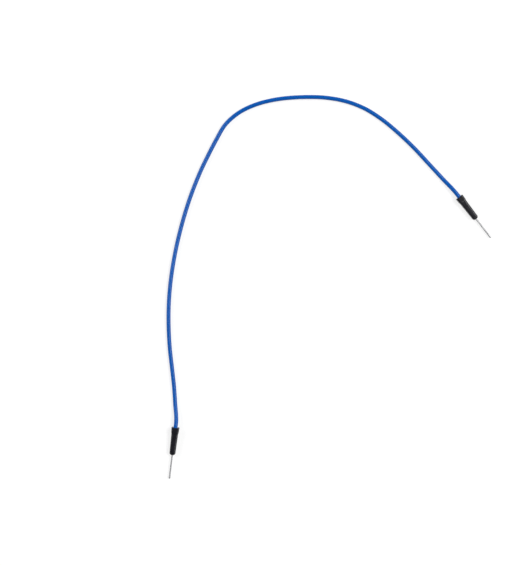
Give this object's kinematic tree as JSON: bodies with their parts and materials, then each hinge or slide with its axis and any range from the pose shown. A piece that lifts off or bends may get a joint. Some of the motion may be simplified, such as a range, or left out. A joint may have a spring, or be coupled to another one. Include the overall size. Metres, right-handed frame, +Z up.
{
  "type": "breadboard jumper wire",
  "caption": "Flexible blue insulated wire with a black moulded plug and a round plated pin at each end, for linking the holes of a breadboard.",
  "frame": {"origin": "on the surface the wire lies on, under the middle of the box that holds both heads and pins", "axes": "+Z up out of the surface, +X from the left plug towards the right plug, +Y towards the top of the wire's arc"},
  "size_m": [0.1164, 0.1376, 0.0028],
  "materials": {
    "blue_vinyl": "satin flexible vinyl",
    "tinned_copper": "bright tinned",
    "black_moulding": "satin moulded",
    "nickel_plate": "bright nickel plate"
  },
  "bodies": {
    "root": {"insulation": "blue_vinyl", "strand_0": "tinned_copper", "strand_1": "tinned_copper", "strand_2": "tinned_copper", "strand_3": "tinned_copper", "strand_4": "tinned_copper", "strand_5": "tinned_copper", "strand_6": "tinned_copper", "left_head": "black_moulding", "right_head": "black_moulding", "left_pin": "nickel_plate", "right_pin": "nickel_plate"}
  },
  "joints": []
}
